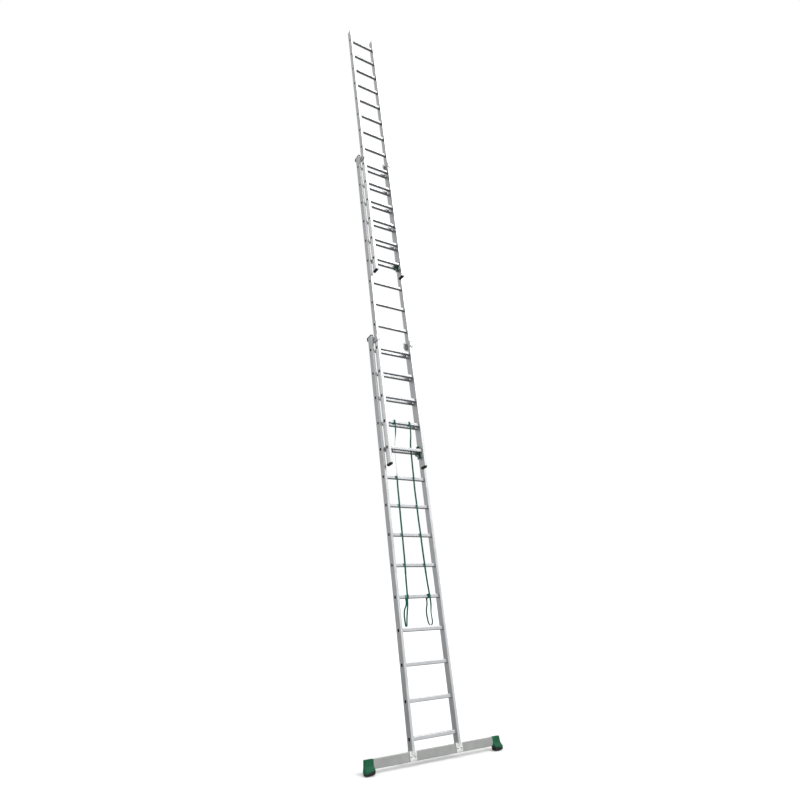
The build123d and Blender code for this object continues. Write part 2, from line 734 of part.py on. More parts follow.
# ---------------------------------------------------------------- straps
# Each strap is looped round the middle section's second rung, drops in front of it, passes
# behind the first rung, runs down in front of the base rungs, hangs in a slack loop over the
# base's fourth rung and is looped round its fifth. Route points are (x, y, height above the
# lowest rung).
TAIL_THICKNESS = 4.5  # where a loop's end is sewn back on the strap
TAIL_HANG = 36  # from the rung's middle down to the foot of the sewn tail
TAIL_OUT = RUNG_REACH + STRAP_GAP + STRAP_THICKNESS + TAIL_THICKNESS / 2 - 0.5
UPPER_TAIL_Y = -LAYER - TAIL_OUT
LOWER_TAIL_Y = TAIL_OUT
UPPER_RUNG = RUNG_PITCH * (RUNGS_RAISED + 1)
LOWER_RUNG = RUNG_PITCH * 4
STRAP_START = UPPER_RUNG - TAIL_HANG
STRAP_END = LOWER_RUNG - TAIL_HANG

LEFT_ROUTE = [
    (-102, UPPER_TAIL_Y, STRAP_START),
    (-102, UPPER_TAIL_Y, 2724),
    (-103, -83, 2668),
    (-102, -57, 2607),
    (-104, -41, 2541),
    (-103, -34, 2464),
    (-101, -30, 2374),
    (-102, -28, 2266),
    (-110, -28, 2131),
    (-111, -29, 1986),
    (-115, -28, 1841),
    (-116, -29, 1697),
    (-118, -28, 1552),
    (-121, -29, 1408),
    (-129, -30, 1280),
    (-132, -32, 1184),
    (-135, -31, 1104),
    (-138, -26, 1036),
    (-148, -20, 976),
    (-157, -19, 925),
    (-160, -18, 888),
    (-153, 0, 868),
    (-144, 26, 868),
    (-137, 45, 888),
    (-138, 46, 925),
    (-140, 45, 974),
    (-133, 38, 1020),
    (-119, LOWER_TAIL_Y, 1054),
    (-119, LOWER_TAIL_Y, STRAP_END),
]

RIGHT_ROUTE = [
    (75, UPPER_TAIL_Y, STRAP_START),
    (75, UPPER_TAIL_Y, 2724),
    (77, -83, 2668),
    (81, -57, 2607),
    (86, -41, 2541),
    (90, -34, 2464),
    (89, -31, 2374),
    (89, -29, 2266),
    (84, -28, 2131),
    (87, -29, 1986),
    (86, -28, 1841),
    (90, -29, 1697),
    (92, -28, 1552),
    (95, -29, 1408),
    (97, -31, 1280),
    (101, -34, 1184),
    (108, -35, 1104),
    (112, -29, 1036),
    (107, -21, 976),
    (111, -20, 925),
    (113, -20, 888),
    (113, -1, 868),
    (114, 27, 868),
    (114, 47, 888),
    (108, 48, 925),
    (102, 45, 976),
    (103, 38, 1020),
    (105, LOWER_TAIL_Y, 1054),
    (105, LOWER_TAIL_Y, STRAP_END),
]


def arc_radii(points):
    """The largest radius that fits each corner: 0.45 of its shorter run over tan(half the turn)."""
    radii = []
    for before, corner, after in zip(points, points[1:], points[2:]):
        arriving = corner - before
        leaving = after - corner
        half_turn = math.radians(arriving.get_angle(leaving) / 2)
        radii.append(0.45 * min(arriving.length, leaving.length) / math.tan(half_turn))
    return radii


def make_strap(route):
    """One strap's cord, from the foot of its upper loop to the foot of its lower one."""
    points = [Vector(x, y, FIRST_RUNG + height) for x, y, height in route]
    radii = arc_radii(points)
    with BuildPart() as strap:
        with BuildLine() as path:
            FilletPolyline(*points, radius=radii)
        with BuildSketch(Plane(origin=points[0], z_dir=points[1] - points[0])):
            Circle(STRAP_WIDTH / 2)
        sweep(path=path.line)
    length = path.wires()[0].length
    ratio = strap.part.volume / (math.pi * (STRAP_WIDTH / 2) ** 2 * length)
    print("arc radii", [round(r) for r in radii], "smallest", round(min(radii), 1))
    print("length", round(length, 1), "volume over section times length", round(ratio, 4))
    return strap.part


def make_strap_loops(rung_y, rung_height, tail_y, xs):
    """For each strap, a flat turn round a rung and the sewn tail that the strap hangs from."""
    z = FIRST_RUNG + rung_height
    inner = 2 * (RUNG_REACH + STRAP_GAP)
    outer = inner + 2 * STRAP_THICKNESS
    with BuildPart() as loops:
        for x in xs:
            with BuildSketch(Plane.YZ.offset(x - STRAP_WIDTH / 2)):
                with Locations((rung_y, z)):
                    RectangleRounded(outer, outer, RUNG_CORNER + 2 * STRAP_THICKNESS)
                    RectangleRounded(inner, inner, RUNG_CORNER, mode=Mode.SUBTRACT)
            extrude(amount=STRAP_WIDTH)
        with BuildSketch(Plane.XY.offset(z - TAIL_HANG)):
            with Locations(*[(x, tail_y) for x in xs]):
                Rectangle(STRAP_WIDTH, TAIL_THICKNESS)
        extrude(amount=TAIL_HANG)
    return loops.part


write(make_strap(LEFT_ROUTE), "strap_left")
write(make_strap(RIGHT_ROUTE), "strap_right")
upper_xs = [LEFT_ROUTE[0][0], RIGHT_ROUTE[0][0]]
lower_xs = [LEFT_ROUTE[-1][0], RIGHT_ROUTE[-1][0]]
write(make_strap_loops(FRONT["mid"], UPPER_RUNG, UPPER_TAIL_Y, upper_xs), "upper_strap_loops")
write(make_strap_loops(FRONT["base"], LOWER_RUNG, LOWER_TAIL_Y, lower_xs), "lower_strap_loops")
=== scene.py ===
import math

import bmesh
import bpy
from mathutils import Matrix, Vector


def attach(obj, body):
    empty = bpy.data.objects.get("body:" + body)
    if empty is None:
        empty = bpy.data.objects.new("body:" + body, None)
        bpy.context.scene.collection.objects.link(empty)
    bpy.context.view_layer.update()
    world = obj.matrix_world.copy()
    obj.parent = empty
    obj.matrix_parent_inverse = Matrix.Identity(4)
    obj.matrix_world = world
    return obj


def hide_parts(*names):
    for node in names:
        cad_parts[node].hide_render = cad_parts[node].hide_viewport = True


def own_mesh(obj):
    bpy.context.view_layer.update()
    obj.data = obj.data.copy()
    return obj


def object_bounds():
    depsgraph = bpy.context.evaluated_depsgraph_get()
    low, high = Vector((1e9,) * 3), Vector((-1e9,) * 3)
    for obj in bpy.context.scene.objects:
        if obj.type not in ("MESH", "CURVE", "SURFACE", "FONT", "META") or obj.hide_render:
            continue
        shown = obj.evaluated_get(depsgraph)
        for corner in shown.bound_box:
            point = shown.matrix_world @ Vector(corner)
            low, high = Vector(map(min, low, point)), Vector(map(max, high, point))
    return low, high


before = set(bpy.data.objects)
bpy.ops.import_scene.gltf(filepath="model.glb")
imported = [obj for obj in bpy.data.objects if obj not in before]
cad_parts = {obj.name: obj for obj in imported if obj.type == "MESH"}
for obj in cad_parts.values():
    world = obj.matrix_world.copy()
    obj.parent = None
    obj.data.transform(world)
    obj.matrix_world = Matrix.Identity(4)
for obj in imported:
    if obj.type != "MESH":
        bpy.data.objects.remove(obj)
cad_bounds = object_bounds()

# The ladder is drawn upright, with X along the rungs, Z up the stiles and -Y towards the climber,
# and then leaned back about the X axis. Lengths are in metres.
LEAN_DEG = 12
LEAN = Matrix.Rotation(math.radians(-LEAN_DEG), 4, "X")
UPRIGHT = LEAN.inverted()
PITCH = 0.28
FIRST_RUNG = 0.195
RUNG_COUNT = 14
MID_RAISED = 9  # rungs that the middle section is raised by
SIDES = {"left": -1, "right": 1}
SECTIONS = ("base", "mid", "top")


def span(node):
    """The lowest and highest corners of a CAD node in the upright frame."""
    points = [UPRIGHT @ v.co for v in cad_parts[node].data.vertices]
    low = Vector([min(p[i] for p in points) for i in range(3)])
    high = Vector([max(p[i] for p in points) for i in range(3)])
    return low, high


# ---------------------------------------------------------------- camera
camera = bpy.data.objects.new("camera", bpy.data.cameras.new("camera"))
bpy.context.scene.collection.objects.link(camera)
camera.location = (-3.277, -4.661, 1.630)
camera.data.lens = 27.98
camera.data.sensor_width = 36
camera.data.clip_end = 200
AZIMUTH, ELEVATION, ROLL = 31.92, 14.20, 0.283
camera.matrix_world = (
    Matrix.Translation(camera.location)
    @ Matrix.Rotation(math.radians(-AZIMUTH), 4, "Z")
    @ Matrix.Rotation(math.radians(90 + ELEVATION), 4, "X")
    @ Matrix.Rotation(math.radians(ROLL), 4, "Z")
)
bpy.context.scene.camera = camera


# ---------------------------------------------------------------- mesh helpers
def new_object(name, bm, smooth=40):
    """Makes an object of a bmesh drawn in the upright frame, leaned into place."""
    bmesh.ops.recalc_face_normals(bm, faces=bm.faces)
    mesh = bpy.data.meshes.new(name)
    bm.to_mesh(mesh)
    bm.free()
    mesh.transform(LEAN)
    obj = bpy.data.objects.new(name, mesh)
    bpy.context.scene.collection.objects.link(obj)
    if smooth:
        mesh.polygons.foreach_set("use_smooth", [True] * len(mesh.polygons))
        mesh.set_sharp_from_angle(angle=math.radians(smooth))
    return obj


def finish_piece(obj, material, body, slot, *nodes):
    obj.data.materials.append(material)
    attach(obj, body)
    if nodes:
        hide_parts(*nodes)
    return obj


# ---------------------------------------------------------------- straps
STRAP_WIDTH = 0.016
STRAP_THICKNESS = 0.0018
TAIL_OUT = 0.02065  # from a rung's middle to the middle of a loop's sewn tail
LAYER = 0.072
UPPER_TAIL_Y = -LAYER - TAIL_OUT
LOWER_TAIL_Y = TAIL_OUT
STRAP_START = 2.764
STRAP_END = 1.084

LEFT_ROUTE = [
    (-0.102, UPPER_TAIL_Y, STRAP_START),
    (-0.102, UPPER_TAIL_Y, 2.724),
    (-0.103, -0.083, 2.668),
    (-0.102, -0.057, 2.607),
    (-0.104, -0.041, 2.541),
    (-0.103, -0.034, 2.464),
    (-0.101, -0.030, 2.374),
    (-0.102, -0.028, 2.266),
    (-0.110, -0.028, 2.131),
    (-0.111, -0.029, 1.986),
    (-0.115, -0.028, 1.841),
    (-0.116, -0.029, 1.697),
    (-0.118, -0.028, 1.552),
    (-0.121, -0.029, 1.408),
    (-0.129, -0.030, 1.280),
    (-0.132, -0.032, 1.184),
    (-0.135, -0.031, 1.104),
    (-0.138, -0.026, 1.036),
    (-0.148, -0.020, 0.976),
    (-0.157, -0.019, 0.925),
    (-0.160, -0.018, 0.888),
    (-0.153, 0.000, 0.868),
    (-0.144, 0.026, 0.868),
    (-0.137, 0.045, 0.888),
    (-0.138, 0.046, 0.925),
    (-0.140, 0.045, 0.974),
    (-0.133, 0.038, 1.020),
    (-0.119, LOWER_TAIL_Y, 1.054),
    (-0.119, LOWER_TAIL_Y, STRAP_END),
]

RIGHT_ROUTE = [
    (0.075, UPPER_TAIL_Y, STRAP_START),
    (0.075, UPPER_TAIL_Y, 2.724),
    (0.077, -0.083, 2.668),
    (0.081, -0.057, 2.607),
    (0.086, -0.041, 2.541),
    (0.090, -0.034, 2.464),
    (0.089, -0.031, 2.374),
    (0.089, -0.029, 2.266),
    (0.084, -0.028, 2.131),
    (0.087, -0.029, 1.986),
    (0.086, -0.028, 1.841),
    (0.090, -0.029, 1.697),
    (0.092, -0.028, 1.552),
    (0.095, -0.029, 1.408),
    (0.097, -0.031, 1.280),
    (0.101, -0.034, 1.184),
    (0.108, -0.035, 1.104),
    (0.112, -0.029, 1.036),
    (0.107, -0.021, 0.976),
    (0.111, -0.020, 0.925),
    (0.113, -0.020, 0.888),
    (0.113, -0.001, 0.868),
    (0.114, 0.027, 0.868),
    (0.114, 0.047, 0.888),
    (0.108, 0.048, 0.925),
    (0.102, 0.045, 0.976),
    (0.103, 0.038, 1.020),
    (0.105, LOWER_TAIL_Y, 1.054),
    (0.105, LOWER_TAIL_Y, STRAP_END),
]


def spline_points(points, resolution=40):
    """Points along the NURBS spline that has these control points."""
    curve = bpy.data.curves.new("route", "CURVE")
    curve.dimensions = "3D"
    spline = curve.splines.new("NURBS")
    spline.points.add(len(points) - 1)
    for point, place in zip(spline.points, points):
        point.co = (*place, 1)
    spline.order_u = 3
    spline.use_endpoint_u = True
    spline.resolution_u = resolution
    obj = bpy.data.objects.new("route", curve)
    bpy.context.scene.collection.objects.link(obj)
    bpy.context.view_layer.update()
    mesh = bpy.data.meshes.new_from_object(obj)
    found = [v.co.copy() for v in mesh.vertices]
    bpy.data.objects.remove(obj)
    bpy.data.curves.remove(curve)
    bpy.data.meshes.remove(mesh)
    return found


def even_points(points, step):
    """The same line with its points an even distance apart."""
    travelled = [0.0]
    for a, b in zip(points, points[1:]):
        travelled.append(travelled[-1] + (b - a).length)
    count = max(2, round(travelled[-1] / step))
    even, i = [], 0
    for k in range(count + 1):
        want = travelled[-1] * k / count
        while i < len(points) - 2 and travelled[i + 1] < want:
            i += 1
        share = (want - travelled[i]) / max(1e-9, travelled[i + 1] - travelled[i])
        even.append(points[i].lerp(points[i + 1], min(1.0, share)))
    return even


def band_outline(width, thickness, sides=4):
    """The flat strap's cross-section, with rounded edges, as (across, out) pairs."""
    half, radius = width / 2 - thickness / 2, thickness / 2
    outline = []
    for sign, start in ((1, -90), (-1, 90)):
        for k in range(sides + 1):
            turn = math.radians(start + 180 * k / sides)
            outline.append((sign * half + radius * math.cos(turn), radius * math.sin(turn)))
    return outline


def turn_at(turns, share):
    """How far the strap is turned about its own line, in degrees, between stated places."""
    for (a, low), (b, high) in zip(turns, turns[1:]):
        if share <= b:
            k = max(0.0, (share - a) / (b - a))
            return low + (high - low) * k * k * (3 - 2 * k)
    return turns[-1][1]


def add_band(bm, points, turns, width=STRAP_WIDTH, thickness=STRAP_THICKNESS, step=0.004):
    """A flat strap along a line, its width along X where it isn't turned. UV runs along it and
    across it, in metres."""
    uv = bm.loops.layers.uv.verify()
    line = even_points(points, step)
    outline = band_outline(width, thickness)
    rings, travelled = [], 0.0
    for i, point in enumerate(line):
        ahead = (line[min(i + 1, len(line) - 1)] - line[max(i - 1, 0)]).normalized()
        travelled += (point - line[max(i - 1, 0)]).length
        turn = math.radians(turn_at(turns, i / (len(line) - 1)))
        flat = Vector((1, 0, 0))
        across = (flat - ahead * ahead.dot(flat)).normalized()
        out = ahead.cross(across)
        wide = across * math.cos(turn) + out * math.sin(turn)
        proud = ahead.cross(wide)
        ring = [bm.verts.new(point + wide * a + proud * b) for a, b in outline]
        rings.append((travelled, ring))
    count = len(outline)
    for (start, low), (end, high) in zip(rings, rings[1:]):
        for k in range(count):
            n = (k + 1) % count
            face = bm.faces.new((low[k], low[n], high[n], high[k]))
            spots = ((start, k), (start, n), (end, n), (end, k))
            for loop, (along, place) in zip(face.loops, spots):
                loop[uv].uv = (along, outline[place][0])
    bm.faces.new(rings[0][1])
    bm.faces.new(rings[-1][1])


STRAPS = {}


def make_strap(side_name, route, turns):
    """The free strap from its upper loop to its lower one."""
    line = spline_points([(x, y, FIRST_RUNG + height) for x, y, height in route])
    bm = bmesh.new()
    add_band(bm, line, turns)
    STRAPS[side_name] = (new_object(f"strap_{side_name}_webbing", bm, smooth=50), line)


# Shares of a strap's length, and how far it is turned about its own line there, in degrees. The
# left strap turns nearly edge-on between its loop and the rungs, then lies flatter down the front.
LEFT_TURNS = (
    (0, 0),
    (0.02, 0),
    (0.08, -54),
    (0.22, -56),
    (0.27, 20),
    (0.4, 34),
    (0.55, 18),
    (0.7, 32),
    (0.8, 8),
    (0.9, -8),
    (1, 0),
)
RIGHT_TURNS = (
    (0, 0),
    (0.03, 0),
    (0.1, 30),
    (0.3, 34),
    (0.5, 24),
    (0.7, 34),
    (0.78, 18),
    (0.84, -18),
    (0.89, 0),
    (1, 0),
)
make_strap(
    "left",
    LEFT_ROUTE,
    LEFT_TURNS,
)
make_strap(
    "right",
    RIGHT_ROUTE,
    RIGHT_TURNS,
)


# ---------------------------------------------------------------- materials
def new_material(name, base, metallic=0.0, roughness=0.5):
    material = bpy.data.materials.new(name)
    material.use_nodes = True
    tree = material.node_tree
    shader = tree.nodes["Principled BSDF"]
    shader.inputs["Base Color"].default_value = (*base, 1)
    shader.inputs["Metallic"].default_value = metallic
    shader.inputs["Roughness"].default_value = roughness
    material.diffuse_color = (*base, 1)
    return material, tree, shader


def placed_coordinates(tree, scale, source="Object"):
    """Coordinates in the upright frame, scaled along X, Y and Z."""
    where = tree.nodes.new("ShaderNodeTexCoord")
    upright = tree.nodes.new("ShaderNodeMapping")
    upright.inputs["Rotation"].default_value = (math.radians(LEAN_DEG), 0, 0)
    tree.links.new(where.outputs[source], upright.inputs["Vector"])
    stretched = tree.nodes.new("ShaderNodeMapping")
    stretched.inputs["Scale"].default_value = scale
    tree.links.new(upright.outputs["Vector"], stretched.inputs["Vector"])
    return stretched.outputs["Vector"]


def noise(tree, vector, scale, detail=4.0, roughness=0.55):
    texture = tree.nodes.new("ShaderNodeTexNoise")
    texture.inputs["Scale"].default_value = scale
    texture.inputs["Detail"].default_value = detail
    texture.inputs["Roughness"].default_value = roughness
    tree.links.new(vector, texture.inputs["Vector"])
    return texture.outputs["Fac"]


def ramp(tree, value, stops):
    node = tree.nodes.new("ShaderNodeValToRGB")
    elements = node.color_ramp.elements
    while len(elements) < len(stops):
        elements.new(0.5)
    for element, (place, colour) in zip(elements, stops):
        element.position = place
        element.color = (*colour, 1) if len(colour) == 3 else colour
    tree.links.new(value, node.inputs["Fac"])
    return node.outputs["Color"]


def remap(tree, value, from_low, from_high, to_low, to_high):
    node = tree.nodes.new("ShaderNodeMapRange")
    for key, number in (
        ("From Min", from_low),
        ("From Max", from_high),
        ("To Min", to_low),
        ("To Max", to_high),
    ):
        node.inputs[key].default_value = number
    tree.links.new(value, node.inputs["Value"])
    return node.outputs["Result"]


def mix_colour(tree, share, a, b, blend="MIX"):
    node = tree.nodes.new("ShaderNodeMix")
    node.data_type = "RGBA"
    node.blend_type = blend
    for socket, value in ((0, share), (6, a), (7, b)):
        if isinstance(value, (int, float)):
            node.inputs[socket].default_value = value
        elif isinstance(value, tuple):
            node.inputs[socket].default_value = (*value, 1)
        else:
            tree.links.new(value, node.inputs[socket])
    return node.outputs[2]


def combine(tree, operation, a, b):
    node = tree.nodes.new("ShaderNodeMath")
    node.operation = operation
    for socket, value in ((0, a), (1, b)):
        if isinstance(value, (int, float)):
            node.inputs[socket].default_value = value
        else:
            tree.links.new(value, node.inputs[socket])
    return node.outputs[0]


def add_bump(tree, shader, height, strength, distance):
    node = tree.nodes.new("ShaderNodeBump")
    node.inputs["Strength"].default_value = strength
    node.inputs["Distance"].default_value = distance
    tree.links.new(height, node.inputs["Height"])
    tree.links.new(node.outputs["Normal"], shader.inputs["Normal"])


def aluminium(name, light, dark, roughness, grain, streak=(1, 1, 1), marks=0.5, line=0.25, painted_light_zone=None):
    """Extruded aluminium: die lines along the profile, a cloudy oxide, faint scuffs and dulled
    patches. streak is small along the profile and large across it. The last argument holds a
    distance from the ladder's middle, a height up the stiles, and a colour painted on the metal
    that is further out than the first and lower than the second: painted shade in the rung ends,
    and a painted highlight on the outer faces of the stiles."""
    material, tree, shader = new_material(name, light, 1.0, roughness)
    across = placed_coordinates(tree, streak)
    lines = noise(tree, across, grain, 5.0, 0.7)
    whole = placed_coordinates(tree, (1, 1, 1))
    cloud = noise(tree, whole, 9.0, 5.0, 0.6)
    fine = noise(tree, whole, 160.0, 3.0, 0.6)
    scuff = noise(tree, placed_coordinates(tree, (34, 34, 3.5)), 6.0, 6.0, 0.75)
    tone = ramp(tree, cloud, ((0.32, dark), (0.68, light)))
    tone = mix_colour(
        tree,
        remap(tree, lines, 0.35, 0.7, 0.0, line),
        tone,
        tuple(0.72 * c for c in dark),
    )
    worn = remap(tree, scuff, 0.62, 0.74, 0.0, marks)
    tone = mix_colour(tree, worn, tone, tuple(0.8 * c for c in dark))
    # Painted shade and painted highlight: metal further out than the distance and lower than the height
    # takes the painted colour in place of its own.
    if painted_light_zone:
        edge, top, painted_light_colour = painted_light_zone
        split = tree.nodes.new("ShaderNodeSeparateXYZ")
        tree.links.new(whole, split.inputs[0])
        aside = combine(tree, "ABSOLUTE", split.outputs["X"], 0.0)
        painted_light_mask = combine(tree, "GREATER_THAN", aside, edge)
        below = remap(tree, split.outputs["Z"], top - 0.02, top, 0.95, 0.0)
        painted_light_mask = combine(tree, "MULTIPLY", painted_light_mask, below)
        tone = mix_colour(tree, painted_light_mask, tone, painted_light_colour)
    tree.links.new(tone, shader.inputs["Base Color"])
    rough = remap(tree, cloud, 0.3, 0.7, roughness - 0.05, roughness + 0.07)
    rough = combine(tree, "ADD", rough, remap(tree, lines, 0.3, 0.7, -0.04, 0.05))
    rough = combine(tree, "ADD", rough, combine(tree, "MULTIPLY", worn, 0.18))
    tree.links.new(rough, shader.inputs["Roughness"])
    height = combine(tree, "ADD", lines, combine(tree, "MULTIPLY", fine, 0.35))
    add_bump(tree, shader, height, 0.22, 0.0004)
    return material


def plastic(name, base, roughness, grain=900.0, fade=0.25, bump=0.25, gloss=0.15):
    """Moulded plastic with a spark-eroded grain, slightly faded and dusty in places."""
    material, tree, shader = new_material(name, base, 0.0, roughness)
    shader.inputs["Specular IOR Level"].default_value = gloss
    whole = placed_coordinates(tree, (1, 1, 1))
    cloud = noise(tree, whole, 14.0, 5.0, 0.6)
    fine = noise(tree, whole, grain, 2.0, 0.5)
    scuff = noise(tree, placed_coordinates(tree, (1, 1, 3)), 70.0, 5.0, 0.75)
    pale = tuple(min(1.0, c * (1 + fade) + 0.01) for c in base)
    deep = tuple(c * (1 - fade * 0.6) for c in base)
    tone = ramp(tree, cloud, ((0.3, deep), (0.7, pale)))
    worn = remap(tree, scuff, 0.66, 0.8, 0.0, 0.35)
    tone = mix_colour(tree, worn, tone, tuple(0.6 * c + 0.05 for c in base))
    tree.links.new(tone, shader.inputs["Base Color"])
    rough = remap(tree, cloud, 0.3, 0.7, roughness - 0.06, roughness + 0.08)
    dull = combine(tree, "MULTIPLY", worn, 0.3)
    tree.links.new(combine(tree, "ADD", rough, dull), shader.inputs["Roughness"])
    add_bump(tree, shader, fine, bump, 0.0003)
    return material


HALF_WIDTH = {name: span(f"{name}_stile_right")[1].x for name in SECTIONS}
STILE_TOP = {name: span(f"{name}_stile_right")[1].z for name in SECTIONS}
PAINTED_HIGHLIGHT = (1.0, 1.0, 0.99)  # painted highlight: near-white metal on the outer faces of the middle and top stiles, below the top of the section behind
ALONG_STILES = (9, 9, 0.12)  # the grain's scale, small the way that the die lines run
ALONG_RUNGS = (0.15, 9, 9)
EVENLY = (3, 3, 3)
STILE_METALS = {
    "base": aluminium("base_stile_metal", (0.60, 0.61, 0.62), (0.50, 0.51, 0.52), 0.36, 40.0, ALONG_STILES),
    "mid": aluminium(
        "mid_stile_metal",
        (0.62, 0.63, 0.64),
        (0.52, 0.53, 0.54),
        0.36,
        40.0,
        ALONG_STILES,
        painted_light_zone=(HALF_WIDTH["mid"] - 0.0008, STILE_TOP["base"], PAINTED_HIGHLIGHT),
    ),
    "top": aluminium(
        "top_stile_metal",
        (0.61, 0.62, 0.63),
        (0.51, 0.52, 0.53),
        0.36,
        40.0,
        ALONG_STILES,
        painted_light_zone=(HALF_WIDTH["top"] - 0.0008, STILE_TOP["mid"], PAINTED_HIGHLIGHT),
    ),
}
RUNG_METALS = {
    name: aluminium(
        f"{name}_rung_metal",
        (0.58, 0.59, 0.60),
        (0.50, 0.51, 0.52),
        0.38,
        40.0,
        ALONG_RUNGS,
        0.35,
        0.15,
        # painted shade: each rung is near black from 24 mm inside the stile's outer face outward, standing
        # in for the shade inside its open end
        (HALF_WIDTH[name] - 0.024, STILE_TOP[name], (0.03, 0.03, 0.03)),
    )
    for name in SECTIONS
}
RIM_METAL = aluminium("rim_metal", (0.74, 0.75, 0.76), (0.62, 0.63, 0.64), 0.30, 60.0, EVENLY, 0.3)
BAR_METAL = aluminium(
    "bar_metal", (0.42, 0.43, 0.42), (0.34, 0.345, 0.34), 0.38, 60.0, ALONG_RUNGS, 0.55, 0.4
)
SADDLE_METAL = aluminium("saddle_metal", (0.84, 0.85, 0.85), (0.70, 0.71, 0.71), 0.44, 50.0, EVENLY, 0.4)
PLATE_METAL = aluminium("plate_metal", (0.60, 0.61, 0.61), (0.48, 0.49, 0.49), 0.40, 50.0, EVENLY, 0.5)
LATCH_METAL = aluminium("latch_metal", (0.40, 0.41, 0.42), (0.30, 0.31, 0.32), 0.46, 90.0, EVENLY, 0.6)
RIVET_METAL = aluminium("rivet_metal", (0.70, 0.71, 0.71), (0.58, 0.59, 0.60), 0.33, 120.0, EVENLY, 0.4)
ZINC = aluminium("zinc_plate", (0.62, 0.61, 0.56), (0.48, 0.48, 0.46), 0.30, 140.0, EVENLY, 0.4)
GREEN = plastic("green_moulding", (0.001, 0.080, 0.034), 0.55, fade=0.22)
HOOK_GREEN = plastic("green_casting", (0.003, 0.065, 0.034), 0.48, fade=0.3)
BLACK = plastic("black_moulding", (0.010, 0.010, 0.0105), 0.72)
PALE = plastic("pale_moulding", (0.50, 0.50, 0.48), 0.45, fade=0.1, gloss=0.4)
RUBBER = plastic("black_rubber", (0.011, 0.0125, 0.012), 0.72, grain=500.0, bump=0.5)
THREAD = plastic("sewing_thread", (0.006, 0.035, 0.024), 0.6, grain=2500.0, bump=0.4)


def webbing_material():
    """Woven polypropylene webbing: herringbone ribs across a flat strap, with painted shade between the
    yarns.
    """
    material, tree, shader = new_material("webbing", (0.003, 0.100, 0.068), 0.0, 0.75)
    where = tree.nodes.new("ShaderNodeUVMap")
    split = tree.nodes.new("ShaderNodeSeparateXYZ")
    tree.links.new(where.outputs["UV"], split.inputs[0])
    along, across = split.outputs["X"], split.outputs["Y"]
    slope = combine(tree, "PINGPONG", across, 0.004)
    diagonal = combine(tree, "ADD", along, slope)
    picks = combine(tree, "SINE", combine(tree, "MULTIPLY", diagonal, 2 * math.pi / 0.0022), 0.0)
    yarns = combine(tree, "SINE", combine(tree, "MULTIPLY", across, 2 * math.pi / 0.0016), 0.0)
    weave = combine(tree, "ADD", picks, combine(tree, "MULTIPLY", yarns, 0.6))
    cloud = noise(tree, placed_coordinates(tree, (1, 1, 1)), 18.0, 4.0, 0.6)
    fuzz = noise(tree, placed_coordinates(tree, (1, 1, 1)), 700.0, 3.0, 0.7)
    level = remap(tree, weave, -1.6, 1.6, 0, 1)
    # Painted shade: the low places of the weave, between the yarns, are darker; the herringbone ribs are the
    # webbing's own pattern.
    tone = ramp(tree, level, ((0.1, (0.001, 0.042, 0.030)), (0.8, (0.003, 0.125, 0.086))))
    tone = mix_colour(tree, remap(tree, cloud, 0.45, 0.75, 0.0, 0.35), tone, (0.006, 0.120, 0.086))
    tree.links.new(tone, shader.inputs["Base Color"])
    shader.inputs["Sheen Weight"].default_value = 0.05
    shader.inputs["Specular IOR Level"].default_value = 0.12
    height = combine(tree, "ADD", weave, combine(tree, "MULTIPLY", fuzz, 1.2))
    add_bump(tree, shader, height, 0.55, 0.0003)
    return material


WEBBING = webbing_material()


# ---------------------------------------------------------------- what each node is made of
def section_of(node):
    for name in ("mid", "top"):
        if node.startswith(name + "_"):
            return name
    return "mid" if node == "upper_strap_loops" else "base"


def body_of(node):
    if "_latch_" in node and not node.endswith("pins"):
        return node
    return section_of(node) + "_section"


def finish_of(node):
    """A node's material and the record's slot that it belongs to."""
    if node.endswith("strap_loops") or node.startswith("strap_"):
        return WEBBING, "green_strap"
    if node.endswith("rungs"):
        return RUNG_METALS[section_of(node)], "rung_aluminium"
    if "_stile_" in node:
        return STILE_METALS[section_of(node)], "stile_aluminium"
    if node == "stabiliser_bar":
        return BAR_METAL, "bar_aluminium"
    if node.startswith("bar_saddle_"):
        return SADDLE_METAL, "bar_aluminium"
    if node.startswith("saddle_") or node.endswith("latch_pins"):
        return ZINC, "zinc_steel"
    if node.endswith("rivets"):
        return RIVET_METAL, "rivet_aluminium"
    if "_latch_" in node:
        return LATCH_METAL, "latch_aluminium"
    if "_rung_hook_" in node:
        return HOOK_GREEN, "green_plastic"
    if node.startswith("foot_sole_"):
        return RUBBER, "black_rubber"
    if node.startswith("foot_"):
        return GREEN, "green_plastic"
    if "_pad_" in node:
        return PALE, "grey_plastic"
    if "_cap_" in node or "_plug_" in node:
        return BLACK, "black_plastic"
    return PLATE_METAL, "pressed_aluminium"


for name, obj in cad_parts.items():
    obj.data.materials.clear()
    obj.data.materials.append(finish_of(name)[0])


# ---------------------------------------------------------------- pieces with softened edges
def node_mesh(node):
    """A node's mesh as a bmesh in the upright frame, welded."""
    bm = bmesh.new()
    bm.from_mesh(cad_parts[node].data)
    bm.transform(UPRIGHT)
    bmesh.ops.remove_doubles(bm, verts=bm.verts, dist=1e-6)
    return bm


def soften(node, width, segments=2):
    """Stands for a node with a copy whose sharp edges are rounded."""
    bm = node_mesh(node)
    bmesh.ops.dissolve_limit(bm, angle_limit=math.radians(1), verts=bm.verts, edges=bm.edges)
    sharp = [
        e for e in bm.edges if len(e.link_faces) == 2 and e.calc_face_angle(0) > math.radians(28)
    ]
    bmesh.ops.bevel(
        bm,
        geom=sharp,
        offset=width,
        offset_type="OFFSET",
        segments=segments,
        profile=0.5,
        affect="EDGES",
        clamp_overlap=True,
    )
    material, slot = finish_of(node)
    piece = new_object(f"{node}_softened", bm, smooth=50)
    return finish_piece(piece, material, body_of(node), slot, node)


